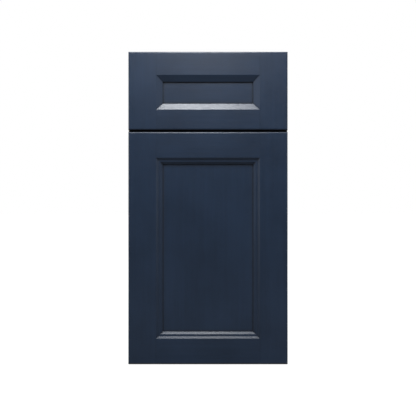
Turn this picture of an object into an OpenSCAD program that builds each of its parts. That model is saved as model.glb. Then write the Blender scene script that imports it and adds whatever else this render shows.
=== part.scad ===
// Wall-hung bathroom vanity cabinet: one drawer over one door, frameless carcass with full-overlay fronts.
// Millimetres. X runs across, Y from the fronts (-Y) to the wall (+Y), Z up. The origin is the bottom centre.

/* [Cabinet] */
// Width over the two side panels
cab_w = 381; // [330:1:600]
// Height of the carcass
cab_h = 744; // [640:1:900]
// Depth from the front faces to the wall
cab_d = 533; // [500:1:640]
// Thickness of the side, bottom and rail boards
board_t = 16; // [15:0.1:20]
// Thickness of the back panel
back_t = 6; // [4:0.5:8]
// Depth of the stretchers and height of the hanging rails
rail_w = 80; // [60:1:100]
// Across distance between the two wall screws, and between the two countertop screws
fixing_span = 240; // [180:1:260]
// Width of the pipe opening in the back panel
pipe_w = 240; // [120:1:280]
// Height of the pipe opening in the back panel
pipe_h = 150; // [80:1:180]
// Height of the pipe opening's middle above the cabinet's bottom
pipe_z = 400; // [300:1:420]

/* [Fronts] */
// Thickness of the door and the drawer front
front_t = 20; // [18:0.5:25]
// Free space between a closed front and the carcass, held by the bumpers
bumper_gap = 2; // [2:0.1:3]
// How far each side panel shows beside the fronts
reveal = 1.5; // [1:0.1:2.5]
// Gap between the drawer front and the door
front_gap = 4; // [2:0.1:5]
// Height of the drawer front
drawer_front_h = 186; // [160:0.5:230]
// Flat width of the door and drawer front stiles
stile_w = 66; // [50:0.5:80]
// Flat height of both door rails
door_rail_w = 61.5; // [45:0.5:80]
// Flat height of the drawer front's top rail
drawer_top_rail_w = 55.5; // [40:0.5:60]
// Flat height of the drawer front's bottom rail
drawer_bottom_rail_w = 48.5; // [40:0.5:60]
// Width of the moulding round each recessed panel
moulding_w = 15.2; // [12:0.1:18]
// How far the panel lies behind the frame's face
recess = 9.5; // [8:0.1:11]
// Thickness of the recessed panel
panel_t = 6; // [5:0.1:6.5]
// Radius of the eased outer edges
edge_r = 4; // [1:0.1:5]

/* [Drawer] */
// Depth of the drawer box
drawer_box_d = 355; // [340:1:380]
// Height of the drawer box
drawer_box_h = 115; // [90:1:140]
// Thickness of the drawer box sides and ends
drawer_side_t = 13; // [12:0.5:16]
// Length of the telescopic slides, which is also the drawer's travel
slide_len = 350; // [300:1:350]
// Height of the slides' middle above the drawer box's lower edge
slide_rise = 42; // [30:1:50]

/* [Shelf] */
// Depth of the adjustable shelf
shelf_d = 300; // [240:1:320]
// Row of pin holes that carries the shelf, counted from 0
shelf_row = 3; // [0:1:6]

/* [Hidden] */
$fn = 48;

// Finishes
navy = [0.16, 0.21, 0.28];
birch = [0.80, 0.68, 0.50];
steel = [0.72, 0.73, 0.74];
zinc = [0.62, 0.62, 0.60];
black_nylon = [0.08, 0.08, 0.09];
clear = [0.80, 0.82, 0.82];

// Small clearances
hair = 0.1;
cut = 1;

// Places of the carcass
front_y = -cab_d / 2;
door_back_y = front_y + front_t;
box_y0 = door_back_y + bumper_gap;
box_y1 = cab_d / 2;
in_w = cab_w - 2 * board_t;
in_x = -in_w / 2;
back_y1 = box_y1 - board_t;
back_y0 = back_y1 - back_t;
back_groove_d = 6;
back_side_gap = 0.5;

// Places of the fronts
front_w = cab_w - 2 * reveal;
door_z = reveal;
door_h = cab_h - 2 * reveal - front_gap - drawer_front_h;
drawer_front_z = door_z + door_h + front_gap;
mid_rail_z = drawer_front_z - front_gap / 2 - board_t / 2;
groove_d = 10;
panel_gap = 1;

// Moulding outlines: each point is [distance in from the frame's flat, depth], as shares of width and recess.
door_moulding = [[0, 0], [0.33, 0.36], [0.63, 0.39], [0.95, 0.77], [1, 0.79]];
drawer_moulding = [[0, 0], [1, 0.74]];

// Cam fittings: each joint is [y, z of the bolt, true where the cam's bore opens to the wall side]
cam_r = 7.5;
cam_depth = 12.5;
cam_setback = 24;
bolt_r = 3.5;
bolt_thread_r = 2.5;
bolt_thread_len = 10.5;
bolt_head_len = 5;
bolt_past = 1;
cam_joints = [
    [box_y0 + 50, board_t / 2, false],
    [back_y0 - 50, board_t / 2, false],
    [box_y0 + rail_w / 2, mid_rail_z + board_t / 2, false],
    [box_y0 + rail_w / 2, cab_h - board_t / 2, false],
    [back_y0 - rail_w / 2, cab_h - board_t / 2, false],
    [box_y1 - board_t / 2, rail_w / 2, true],
    [box_y1 - board_t / 2, cab_h - rail_w / 2, true]
];

// Two dowels beside each cam, along the board's width
dowel_r = 4;
dowel_len = 30;
dowel_in_side = 10;
dowel_offset = 24;
function dowel_spots(j) = [for (s = [-1, 1] * dowel_offset) j[2] ? [j[0], j[1] + s] : [j[0] + s, j[1]]];

// Fixing holes for the wall and for the countertop
fixing_r = 3;
wall_fixings = [for (z = [rail_w / 2, cab_h - rail_w / 2]) z];

// Shelf pins in 32 mm rows
pin_r = 2.5;
pin_hole_d = 10;
pin_rows = 7;
pin_pitch = 32;
pin_tab = 9;
shelf_y0 = box_y0 + 20;
pin_first_z = mid_rail_z / 2 - pin_pitch * (pin_rows - 1) / 2;
pin_ys = [shelf_y0 + 40, shelf_y0 + shelf_d - 40];
pin_z = pin_first_z + shelf_row * pin_pitch;
shelf_side_gap = 1;

// Concealed hinge, measured from the door's edge (first number) and back face (second number)
hinge_end_z = 90;
hinge_zs = [door_z + hinge_end_z, door_z + door_h - hinge_end_z];
cup_r = 17.5;
cup_d = 13;
cup_edge = 22;
arm_pivot = [34, 2];
cup_pivot = [10.5, -7.5];
link_handles = [[34, -7.9], [19.9, -15.7]];
link_steps = 16;
link_t = 1.6;
link_half_h = 4.8;
pocket_half_w = 15.6;
pocket_half_h = 6.5;
pocket_d = 12.4;
notch_half_h = 5.4;
notch_d = 1.5;
ear_half_h = 6.2;
pin_fit = 0.05;
hinge_pin_r = 1.2;
cup_pin_half_h = 8.5;
flange_t = 1;
flange_r = 19;
cup_screw_x = 9.5;
cup_screw_z = 22.5;
plate_y = box_y0 + 37;
plate_screw_z = 16;
plate_t = 1.6;
ridge_h = 8.5;
ridge_half_w = 4.5;
arm_top = 10.6;
arm_back_y = box_y0 + 60;
arm_screw_y = box_y0 + 50;

// Telescopic slide: distances out from the cabinet side, and half heights
slide_t = 12.7;
slide_wall = 1.2;
slide_y0 = box_y0 + 3;
outer_half_h = 22.5;
middle_half_h = 16.9;
inner_half_h = 11.3;
middle_web_x = 4.6;
ball_r = 1.9;
ball_pitch = 20;
balls_per_row = 8;
outer_w = 9.5;
outer_lip_x = 8.3;
outer_lip_h = 2.6;
middle_x = 3.4;
middle_w = 7;
inner_x = 7.3;
lever_t = 1.6;
lever_len = 46;
lever_w = 5;
lever_tip = [12, 9];
lever_from_front = 110;
cage_t = 0.6;
leg_t = 0.8;
cage_len = 160;
cage_y0 = slide_y0 + (slide_len - cage_len) / 2;

// Ball cages: [place of the web, length of the legs, half height of the legs, place of the balls]
outer_cage = [2.4, 5.6, 19.1, 5.6];
inner_cage = [6.2, 4.9, 13.5, 8.9];
slide_screw_ys = [slide_y0 + 24, slide_y0 + slide_len / 2, slide_y0 + slide_len - 36];

// Drawer box
box_w = in_w - 2 * slide_t;
box_y = door_back_y;
box_z = drawer_front_z + 18;
slide_z = box_z + slide_rise;
tails = 3;
tail_half = 9;
tail_slope = 0.19;
bottom_t = 6;
bottom_lift = 10;
bottom_groove = 6;
front_screw_xs = [-1, 1] * (box_w / 2 - drawer_side_t - 18);
front_screw_zs = [box_z + 30, box_z + drawer_box_h - 30];

// ---- Shapes that repeat ----

// A board from one corner and its size
module board(corner, size) {
    translate(corner) cube(size);
}

// A round bar along X
module x_bar(from, len, r) {
    translate(from) rotate([0, 90, 0]) cylinder(h = len, r = r);
}

// A round bar along Y
module y_bar(from, len, r) {
    translate(from) rotate([-90, 0, 0]) cylinder(h = len, r = r);
}

// A flat outline in X and Z, extruded along Y
module along_y(y0, len) {
    translate([0, y0 + len, 0]) rotate([90, 0, 0]) linear_extrude(len) children();
}

// The same thing on the left and, mirrored, on the right
module both_sides() {
    children();
    mirror([1, 0, 0]) children();
}

// ---- Carcass ----

// Bores for the bolts, cams and dowels in the boards between the sides
module cam_bores() {
    for (j = cam_joints)
        both_sides() {
            for (p = dowel_spots(j))
                x_bar([in_x - cut, p[0], p[1]], cut + dowel_len - dowel_in_side + 1, dowel_r);
            x_bar([in_x - cut, j[0], j[1]], cut + cam_setback + bolt_past + hair, bolt_r + 0.5);
            if (j[2])
                y_bar([in_x + cam_setback, j[0] + board_t / 2 - cam_depth, j[1]], cam_depth + cut, cam_r);
            else
                translate([in_x + cam_setback, j[0], j[1] - board_t / 2 - cut])
                    cylinder(h = cam_depth + cut, r = cam_r);
        }
}

// Left side panel with its back groove, shelf pin rows and pilot holes
module side_board() {
    color(navy) difference() {
        board([-cab_w / 2, box_y0, 0], [board_t, box_y1 - box_y0, cab_h]);
        board([in_x - back_groove_d, back_y0, -cut], [back_groove_d + cut, back_t, cab_h + 2 * cut]);
        for (j = cam_joints) {
            x_bar([in_x - bolt_thread_len - 0.5, j[0], j[1]], bolt_thread_len + cut, bolt_thread_r + hair);
            for (p = dowel_spots(j))
                x_bar([in_x - dowel_in_side - 0.5, p[0], p[1]], dowel_in_side + cut, dowel_r);
        }
        for (y = pin_ys, row = [0 : pin_rows - 1])
            x_bar([in_x - pin_hole_d, y, pin_first_z + row * pin_pitch], pin_hole_d + cut, pin_r);
        for (z = hinge_zs, s = [-1, 1])
            x_bar([in_x - 12, plate_y, z + s * plate_screw_z], 12 + cut, 2.5);
        for (y = slide_screw_ys)
            x_bar([in_x - 12, y, slide_z], 12 + cut, 1.6);
    }
}
module side_left() side_board();
module side_right() mirror([1, 0, 0]) side_board();

module bottom_panel() color(birch) difference() {
    board([in_x, box_y0, 0], [in_w, back_y0 - box_y0, board_t]);
    cam_bores();
}

module back_panel() color(birch) difference() {
    board([in_x - back_groove_d + back_side_gap, back_y0, 0],
          [in_w + 2 * (back_groove_d - back_side_gap), back_t, cab_h]);
    board([-pipe_w / 2, back_y0 - cut, pipe_z - pipe_h / 2], [pipe_w, back_t + 2 * cut, pipe_h]);
    for (x = [-1, 1] * fixing_span / 2, z = wall_fixings)
        y_bar([x, back_y0 - cut, z], back_t + 2 * cut, fixing_r);
}

// Stretcher under the countertop, starting at depth y
module stretcher(y) color(birch) difference() {
    board([in_x, y, cab_h - board_t], [in_w, rail_w, board_t]);
    cam_bores();
    for (x = [-1, 1] * fixing_span / 2)
        translate([x, y + rail_w / 2, cab_h - board_t - cut]) cylinder(h = board_t + 2 * cut, r = fixing_r);
}
module top_stretcher_front() stretcher(box_y0);
module top_stretcher_back() stretcher(back_y0 - rail_w);

module mid_rail() color(birch) difference() {
    board([in_x, box_y0, mid_rail_z], [in_w, rail_w, board_t]);
    cam_bores();
}

// Rail behind the back panel that the wall screws go through, starting at height z
module hanging_rail(z) color(birch) difference() {
    board([in_x, back_y1, z], [in_w, board_t, rail_w]);
    cam_bores();
    for (x = [-1, 1] * fixing_span / 2)
        y_bar([x, back_y1 - cut, z + rail_w / 2], board_t + 2 * cut, fixing_r);
}
module hanging_rail_top() hanging_rail(cab_h - rail_w);
module hanging_rail_bottom() hanging_rail(0);

module shelf() color(birch)
    board([in_x + shelf_side_gap, shelf_y0, pin_z + pin_r], [in_w - 2 * shelf_side_gap, shelf_d, board_t]);

// Four pins, each a round peg with a flat tab under the shelf
module shelf_pins() color(steel) for (y = pin_ys) both_sides() {
    x_bar([in_x - pin_hole_d + 1, y, pin_z], pin_hole_d - 1 + pin_tab, pin_r - hair);
    board([in_x, y - 4, pin_z + 0.4], [pin_tab, 8, pin_r - 0.4]);
}

// One cam disc with its bolt channel and cross slot, mouth down at the origin, bolt coming from -X
module cam_disc() difference() {
    translate([0, 0, 0.2]) cylinder(h = cam_depth - 0.4, r = cam_r - hair);
    x_bar([-cam_r - cut, 0, board_t / 2], cam_r + cut + 3, bolt_r + 0.5);
    for (a = [0, 90]) rotate([0, 0, a]) board([-4, -0.7, -cut], [8, 1.4, cut + 2]);
}
module cam_locks() color(zinc) for (j = cam_joints) both_sides()
    translate([in_x + cam_setback, j[0], j[1]])
        if (j[2]) rotate([90, 0, 0]) translate([0, 0, -board_t / 2]) cam_disc();
        else translate([0, 0, -board_t / 2]) cam_disc();

module cam_bolts() color(zinc) for (j = cam_joints) both_sides() {
    x_bar([in_x - bolt_thread_len, j[0], j[1]], bolt_thread_len, bolt_thread_r);
    x_bar([in_x, j[0], j[1]], cam_setback + bolt_past - bolt_head_len, bolt_r - 0.8);
    x_bar([in_x + cam_setback + bolt_past - bolt_head_len, j[0], j[1]], bolt_head_len, bolt_r);
}

module dowels() color(birch) for (j = cam_joints) both_sides() for (p = dowel_spots(j))
    x_bar([in_x - dowel_in_side, p[0], p[1]], dowel_len, dowel_r - hair);

// ---- Framed fronts: y = 0 is the face and z = 0 the lower edge ----

// Outline of a frame member: [distance from its outer edge, depth], with the moulding and the panel's groove
function member_outline(flat_w, moulding) = concat(
    [[0, front_t]],
    [for (a = [0 : 15 : 90]) [edge_r - edge_r * cos(a), edge_r - edge_r * sin(a)]],
    [for (p = moulding) [flat_w + p[0] * moulding_w, p[1] * recess]],
    [for (p = [[0, 0], [-groove_d, 0], [-groove_d, panel_t + hair], [0, panel_t + hair]])
        [flat_w + moulding_w + p[0], recess + p[1]]],
    [[flat_w + moulding_w, front_t]]
);

// Takes the sharp corner off the lower front edge of a front, to the same radius as the member's outline
module lower_edge_ease() difference() {
    board([-front_w / 2 - cut, -cut, -cut], [front_w + 2 * cut, edge_r + cut, edge_r + cut]);
    x_bar([-front_w / 2 - 2 * cut, edge_r, edge_r], front_w + 4 * cut, edge_r);
}

// Left stile of a front of height h
module left_stile(h, moulding) difference() {
    translate([-front_w / 2, 0, 0]) linear_extrude(h) polygon(member_outline(stile_w, moulding));
    lower_edge_ease();
    translate([0, 0, h]) mirror([0, 0, 1]) lower_edge_ease();
}

// Lower rail of a front of height h, coped over both stiles
module lower_rail(h, rail_h, moulding) difference() {
    translate([-front_w / 2 + stile_w, 0, 0]) rotate([90, 0, 90]) linear_extrude(front_w - 2 * stile_w)
        polygon([for (p = member_outline(rail_h, moulding)) [p[1], p[0]]]);
    both_sides() translate([-front_w / 2, 0, -cut]) linear_extrude(h + 2 * cut)
        polygon(member_outline(stile_w, moulding));
}

// Panel of a front of height h, loose in the grooves by panel_gap
module front_panel(h, bottom_rail_h, top_rail_h) {
    inset = moulding_w - groove_d + panel_gap;
    board([-front_w / 2 + stile_w + inset, recess, bottom_rail_h + inset],
          [front_w - 2 * (stile_w + inset), panel_t, h - bottom_rail_h - top_rail_h - 2 * inset]);
}

// ---- Door ----

module at_door() translate([0, front_y, door_z]) children();

// Bores for the two cups and their screws, from the back of the hinge-side stile
module cup_bores() for (z = hinge_zs) translate([-front_w / 2 + cup_edge, door_back_y, z]) {
    y_bar([0, -cup_d, 0], cup_d + cut, cup_r);
    for (s = [-1, 1]) y_bar([cup_screw_x, -10, s * cup_screw_z], 10 + cut, 1.6);
}
module door_stile_hinge() color(navy) difference() {
    at_door() left_stile(door_h, door_moulding);
    cup_bores();
}
module door_stile_free() color(navy) mirror([1, 0, 0]) at_door() left_stile(door_h, door_moulding);
module door_rail_bottom() color(navy) at_door() lower_rail(door_h, door_rail_w, door_moulding);
module door_rail_top() color(navy) at_door()
    translate([0, 0, door_h]) mirror([0, 0, 1]) lower_rail(door_h, door_rail_w, door_moulding);
module door_panel() color(navy) at_door() front_panel(door_h, door_rail_w, door_rail_w);

// Soft discs near the door's free corners, just clear of the carcass edge
module door_bumpers() color(clear) for (z = [door_z + 20, door_z + door_h - 20])
    y_bar([cab_w / 2 - board_t / 2, door_back_y, z], bumper_gap - 0.2, 4);

// ---- Concealed hinges, drawn at height z = 0 in the door's place ----

// A point of the hinge in the cabinet's frame
function hinge_xy(p) = [-front_w / 2 + p[0], door_back_y + p[1]];
a_xy = hinge_xy(arm_pivot);
b_xy = hinge_xy(cup_pivot);
c_xy = hinge_xy(link_handles[0]);
d_xy = hinge_xy(link_handles[1]);

// The link's middle line, a cubic curve from the arm's pivot to the cup's, and its direction
function link_point(t) =
    a_xy * pow(1 - t, 3) + c_xy * 3 * t * pow(1 - t, 2) + d_xy * 3 * t * t * (1 - t) + b_xy * pow(t, 3);
function link_slope(t) =
    (c_xy - a_xy) * 3 * pow(1 - t, 2) + (d_xy - c_xy) * 6 * t * (1 - t) + (b_xy - d_xy) * 3 * t * t;
function beside_link(t, side) =
    let (d = link_slope(t)) link_point(t) + [-d[1], d[0]] / norm(d) * side * link_t / 2;

module at_hinge(i) translate([0, 0, hinge_zs[i]]) children();
module z_bar(p, half_h, r) translate([p[0], p[1], -half_h]) cylinder(h = 2 * half_h, r = r);

// Goose-neck link between the arm and the cup, with an eye at each end
module hinge_link(i) color(steel) at_hinge(i) difference() {
    union() {
        translate([0, 0, -link_half_h]) linear_extrude(2 * link_half_h) polygon(concat(
            [for (k = [0 : link_steps]) beside_link(k / link_steps, 1)],
            [for (k = [link_steps : -1 : 0]) beside_link(k / link_steps, -1)]));
        z_bar(a_xy, link_half_h, 2.2);
        z_bar(b_xy, link_half_h, 2.2);
    }
    z_bar(a_xy, link_half_h + cut, hinge_pin_r + hair);
    z_bar(b_xy, link_half_h + cut, hinge_pin_r + hair);
}
module hinge_link_top() hinge_link(1);
module hinge_link_bottom() hinge_link(0);

// Channel arm over the plate's ridge, with two ears round the link's eye
module hinge_arm(i) color(steel) at_hinge(i) difference() {
    union() {
        translate([0, 0, -ear_half_h]) linear_extrude(2 * ear_half_h) polygon([
            [in_x + 2.2, arm_back_y], [in_x + 2.2, box_y0 + 13], [in_x + 7, box_y0 + 6.5],
            a_xy + [-2, -1.4], a_xy + [1.6, 1.6],
            [in_x + 12.5, box_y0 + 8.5], [in_x + arm_top, box_y0 + 13], [in_x + arm_top, arm_back_y]]);
        z_bar(a_xy, ear_half_h, 2.5);
    }
    z_bar(a_xy, link_half_h + 0.2, 3.2);
    z_bar(a_xy, ear_half_h + cut, hinge_pin_r + pin_fit);
    board([in_x, box_y0 + 14, -ridge_half_w - 0.2],
          [ridge_h + 0.2, arm_back_y - box_y0, 2 * (ridge_half_w + 0.2)]);
    x_bar([in_x + ridge_h, arm_screw_y, 0], arm_top, 2);
}
module hinge_arm_top() hinge_arm(1);
module hinge_arm_bottom() hinge_arm(0);

// Winged mounting plate with the ridge that the arm clips over
module hinge_plate(i) color(steel) at_hinge(i) difference() {
    union() {
        board([in_x, plate_y - 10, -plate_screw_z], [plate_t, 20, 2 * plate_screw_z]);
        for (s = [-1, 1]) x_bar([in_x, plate_y, s * plate_screw_z], plate_t, 10);
        board([in_x, plate_y - 15, -ridge_half_w], [ridge_h, 36, 2 * ridge_half_w]);
    }
    for (s = [-1, 1]) x_bar([in_x - cut, plate_y, s * plate_screw_z], plate_t + 2 * cut, 2.6);
    x_bar([in_x + 2, arm_screw_y, 0], ridge_h, 2);
}
module hinge_plate_top() hinge_plate(1);
module hinge_plate_bottom() hinge_plate(0);

module hinge_arm_pins() color(steel) for (i = [0, 1]) at_hinge(i) z_bar(a_xy, ear_half_h, hinge_pin_r);
module hinge_cup_pins() color(steel) for (i = [0, 1]) at_hinge(i) z_bar(b_xy, cup_pin_half_h, hinge_pin_r);

// A pan-head screw along X, its head's underside at the origin and its point towards -X
module pan_screw_x(len, r, head_r, head_h) difference() {
    union() {
        x_bar([-len, 0, 0], len, r);
        x_bar([0, 0, 0], head_h, head_r);
    }
    for (a = [0, 90]) rotate([a, 0, 0]) board([head_h / 2, -head_r * 0.6, -0.4], [head_h, head_r * 1.2, 0.8]);
}
module hinge_screws() color(steel) for (i = [0, 1]) at_hinge(i) {
    for (s = [-1, 1]) translate([in_x + plate_t, plate_y, s * plate_screw_z]) pan_screw_x(12, 2.4, 4.2, 2.2);
    translate([in_x + arm_top, arm_screw_y, 0]) pan_screw_x(7, 1.9, 3.2, 1.8);
}

// Cup with its pocket, and the flange that lies on the door's back
module hinge_cup(i) color(steel) at_hinge(i)
    translate([-front_w / 2 + cup_edge, door_back_y, 0]) difference() {
        union() {
            y_bar([0, hair - cup_d, 0], cup_d - hair, cup_r - hair);
            along_y(0, flange_t) union() {
                circle(r = flange_r);
                translate([cup_screw_x - 6, -cup_screw_z]) square([12, 2 * cup_screw_z]);
                for (s = [-1, 1]) translate([cup_screw_x, s * cup_screw_z]) circle(r = 6);
            }
        }
        board([-pocket_half_w, -pocket_d, -pocket_half_h],
              [2 * pocket_half_w, pocket_d + flange_t + cut, 2 * pocket_half_h]);
        board([-flange_r - cut, -notch_d, -notch_half_h],
              [flange_r + cut - pocket_half_w + hair, notch_d + flange_t + cut, 2 * notch_half_h]);
        translate([cup_pivot[0] - cup_edge, cup_pivot[1], -cup_pin_half_h - 0.2])
            cylinder(h = 2 * cup_pin_half_h + 0.4, r = hinge_pin_r + pin_fit);
        for (s = [-1, 1]) y_bar([cup_screw_x, -cut, s * cup_screw_z], flange_t + 2 * cut, 2);
    }
module hinge_cup_top() hinge_cup(1);
module hinge_cup_bottom() hinge_cup(0);

module hinge_cup_screws() color(steel) for (i = [0, 1], s = [-1, 1]) at_hinge(i)
    translate([-front_w / 2 + cup_edge + cup_screw_x, door_back_y + flange_t, s * cup_screw_z])
        rotate([0, 0, 90]) pan_screw_x(10, 1.5, 3.2, 0.6);

// ---- Drawer front ----

module at_drawer_front() translate([0, front_y, drawer_front_z]) children();
module drawer_stile() color(navy) difference() {
    at_drawer_front() left_stile(drawer_front_h, drawer_moulding);
    drawer_front_pilots();
}
module drawer_front_pilots() for (x = front_screw_xs, z = front_screw_zs)
    y_bar([x, door_back_y - 14, z], 14 + cut, 2);
module drawer_stile_left() drawer_stile();
module drawer_stile_right() mirror([1, 0, 0]) drawer_stile();
module drawer_rail_bottom() color(navy) at_drawer_front()
    lower_rail(drawer_front_h, drawer_bottom_rail_w, drawer_moulding);
module drawer_rail_top() color(navy) at_drawer_front() translate([0, 0, drawer_front_h]) mirror([0, 0, 1])
    lower_rail(drawer_front_h, drawer_top_rail_w, drawer_moulding);
module drawer_panel() color(navy) at_drawer_front()
    front_panel(drawer_front_h, drawer_bottom_rail_w, drawer_top_rail_w);

module drawer_bumpers() color(clear) both_sides()
    y_bar([-cab_w / 2 + board_t / 2, door_back_y, drawer_front_z + 20], bumper_gap - 0.2, 4);

// ---- Drawer box ----

// Dovetails of one corner as an outline in Y and Z, wide at y = 0 and narrow at the end board's inner face
module tail_outline() for (k = [0 : tails - 1])
    translate([0, (k + 0.5) * drawer_box_h / tails]) polygon([
        [0, -tail_half], [drawer_side_t, -tail_half + drawer_side_t * tail_slope],
        [drawer_side_t, tail_half - drawer_side_t * tail_slope], [0, tail_half]]);

// Left side of the box: a board between the ends, with dovetails through both ends
module box_side_blank() translate([-box_w / 2, 0, box_z]) {
    board([0, box_y + drawer_side_t, 0], [drawer_side_t, drawer_box_d - 2 * drawer_side_t, drawer_box_h]);
    translate([0, box_y, 0]) rotate([90, 0, 90]) linear_extrude(drawer_side_t) tail_outline();
    translate([0, box_y + drawer_box_d, 0]) mirror([0, 1, 0])
        rotate([90, 0, 90]) linear_extrude(drawer_side_t) tail_outline();
}

// The groove that holds the box bottom, cut from the inside of all four boards
module bottom_slot() board(
    [-box_w / 2 + drawer_side_t - bottom_groove, box_y + drawer_side_t - bottom_groove, box_z + bottom_lift],
    [box_w - 2 * (drawer_side_t - bottom_groove), drawer_box_d - 2 * (drawer_side_t - bottom_groove),
     bottom_t + hair]);

// The part of the slot that each box side or end carries
module side_slot() intersection() {
    bottom_slot();
    board([-box_w, box_y + drawer_side_t, 0], [2 * box_w, drawer_box_d - 2 * drawer_side_t, cab_h]);
}
module end_slot() intersection() {
    bottom_slot();
    board([-box_w / 2 + drawer_side_t, box_y, 0], [box_w - 2 * drawer_side_t, drawer_box_d, cab_h]);
}

module box_side() color(birch) difference() {
    box_side_blank();
    side_slot();
    for (y = slide_screw_ys) x_bar([-box_w / 2 - cut, y, slide_z], 10 + cut, 1.6);
}
module drawer_box_left() box_side();
module drawer_box_right() mirror([1, 0, 0]) box_side();

module box_end(y) difference() {
    board([-box_w / 2, y, box_z], [box_w, drawer_side_t, drawer_box_h]);
    both_sides() box_side_blank();
    end_slot();
}
module drawer_box_front() color(birch) difference() {
    box_end(box_y);
    for (x = front_screw_xs, z = front_screw_zs) y_bar([x, box_y - cut, z], drawer_side_t + 2 * cut, 2.2);
}
module drawer_box_back() color(birch) box_end(box_y + drawer_box_d - drawer_side_t);

// Bottom with its four corners notched round the boards' joints
module drawer_box_bottom() color(birch) difference() {
    board([-box_w / 2 + drawer_side_t - bottom_groove + 0.5, box_y + drawer_side_t - bottom_groove + 0.5,
           box_z + bottom_lift],
          [box_w - 2 * (drawer_side_t - bottom_groove + 0.5),
           drawer_box_d - 2 * (drawer_side_t - bottom_groove + 0.5), bottom_t]);
    both_sides() for (y = [box_y, box_y + drawer_box_d - drawer_side_t])
        board([-box_w / 2, y, box_z], [drawer_side_t, drawer_side_t, drawer_box_h]);
}

module drawer_front_screws() color(steel) for (x = front_screw_xs, z = front_screw_zs)
    translate([x, box_y + drawer_side_t, z]) rotate([0, 0, 90]) pan_screw_x(25, 1.9, 4, 2.4);

// ---- Telescopic slides, drawn for the left side at the slides' height ----

module at_slide() translate([in_x, 0, slide_z]) children();

module slide_outer() color(zinc) at_slide() difference() {
    along_y(slide_y0, slide_len) difference() {
        translate([0, -outer_half_h]) square([outer_w, 2 * outer_half_h]);
        translate([slide_wall, slide_wall - outer_half_h])
            square([outer_lip_x - slide_wall, 2 * (outer_half_h - slide_wall)]);
        translate([outer_lip_x - hair, outer_lip_h - outer_half_h])
            square([outer_w - outer_lip_x + cut, 2 * (outer_half_h - outer_lip_h)]);
    }
    for (y = slide_screw_ys) x_bar([-cut, y, 0], slide_wall + 2 * cut, 2);
}
module slide_outer_left() slide_outer();
module slide_outer_right() mirror([1, 0, 0]) slide_outer();

module slide_middle() color(zinc) at_slide() along_y(slide_y0, slide_len) {
    translate([middle_web_x, -middle_half_h]) square([slide_wall, 2 * middle_half_h]);
    for (s = [-1, 1]) translate([middle_x, s * (middle_half_h - slide_wall / 2) - slide_wall / 2])
        square([middle_w, slide_wall]);
}
module slide_middle_left() slide_middle();
module slide_middle_right() mirror([1, 0, 0]) slide_middle();

module slide_inner() color(zinc) at_slide() difference() {
    along_y(slide_y0, slide_len) difference() {
        translate([inner_x, -inner_half_h]) square([slide_t - inner_x, 2 * inner_half_h]);
        translate([inner_x - cut, slide_wall - inner_half_h])
            square([slide_t - slide_wall - inner_x + cut, 2 * (inner_half_h - slide_wall)]);
    }
    for (y = slide_screw_ys) x_bar([slide_t - slide_wall - cut, y, 0], slide_wall + 2 * cut, 2);
}
module slide_inner_left() slide_inner();
module slide_inner_right() mirror([1, 0, 0]) slide_inner();

// Plastic release lever in the inner member's channel, with its rivet end to the back
module slide_levers() color(black_nylon) both_sides() at_slide()
    translate([slide_t - slide_wall - lever_t, slide_y0 + lever_from_front, 0])
    rotate([90, 0, 90]) linear_extrude(lever_t) union() {
        circle(r = lever_w);
        translate([-lever_len, -lever_w / 2]) square([lever_len, lever_w]);
        translate([-lever_len, lever_w / 2 + 0.5 - lever_tip[1]]) square(lever_tip);
    }

// U-shaped cage with a row of balls in each leg
module ball_cage(cage) color(steel) at_slide() {
    web_x = cage[0];
    leg_z = cage[2];
    ball_x = cage[3];
    ys = [for (k = [0 : balls_per_row - 1]) cage_y0 + (cage_len - (balls_per_row - 1) * ball_pitch) / 2
        + k * ball_pitch];
    difference() {
        along_y(cage_y0, cage_len) {
            translate([web_x, -leg_z]) square([cage_t, 2 * leg_z]);
            for (s = [-1, 1]) translate([web_x, s * leg_z - leg_t / 2]) square([cage[1], leg_t]);
        }
        for (y = ys) translate([ball_x, y, -leg_z - 2]) cylinder(h = 2 * leg_z + 4, r = ball_r + hair);
    }
    for (y = ys, s = [-1, 1]) translate([ball_x, y, s * leg_z]) sphere(r = ball_r);
}
module ball_cage_outer_left() ball_cage(outer_cage);
module ball_cage_outer_right() mirror([1, 0, 0]) ball_cage(outer_cage);
module ball_cage_inner_left() ball_cage(inner_cage);
module ball_cage_inner_right() mirror([1, 0, 0]) ball_cage(inner_cage);

module slide_screws_cabinet() color(steel) both_sides() for (y = slide_screw_ys)
    translate([in_x + slide_wall, y, slide_z]) pan_screw_x(12, 1.5, 3.4, 0.8);
module slide_screws_drawer() color(steel) both_sides() for (y = slide_screw_ys)
    translate([in_x + slide_t - slide_wall, y, slide_z]) mirror([1, 0, 0]) pan_screw_x(10, 1.5, 3.4, 0.8);

// ---- Nodes ----

side_left();
side_right();
bottom_panel();
back_panel();
top_stretcher_front();
top_stretcher_back();
mid_rail();
hanging_rail_top();
hanging_rail_bottom();
shelf();
shelf_pins();
cam_locks();
cam_bolts();
dowels();
hinge_plate_top();
hinge_plate_bottom();
hinge_arm_top();
hinge_arm_bottom();
hinge_arm_pins();
hinge_screws();
hinge_link_top();
hinge_link_bottom();
door_stile_hinge();
door_stile_free();
door_rail_top();
door_rail_bottom();
door_panel();
hinge_cup_top();
hinge_cup_bottom();
hinge_cup_pins();
hinge_cup_screws();
door_bumpers();
drawer_stile_left();
drawer_stile_right();
drawer_rail_top();
drawer_rail_bottom();
drawer_panel();
drawer_box_left();
drawer_box_right();
drawer_box_front();
drawer_box_back();
drawer_box_bottom();
drawer_front_screws();
drawer_bumpers();
slide_outer_left();
slide_outer_right();
slide_middle_left();
slide_middle_right();
slide_inner_left();
slide_inner_right();
slide_levers();
ball_cage_outer_left();
ball_cage_outer_right();
ball_cage_inner_left();
ball_cage_inner_right();
slide_screws_cabinet();
slide_screws_drawer();
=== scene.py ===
"""Finishes, soft edges and studio for a wall-hung bathroom vanity cabinet: one drawer over one door."""
import math

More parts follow.
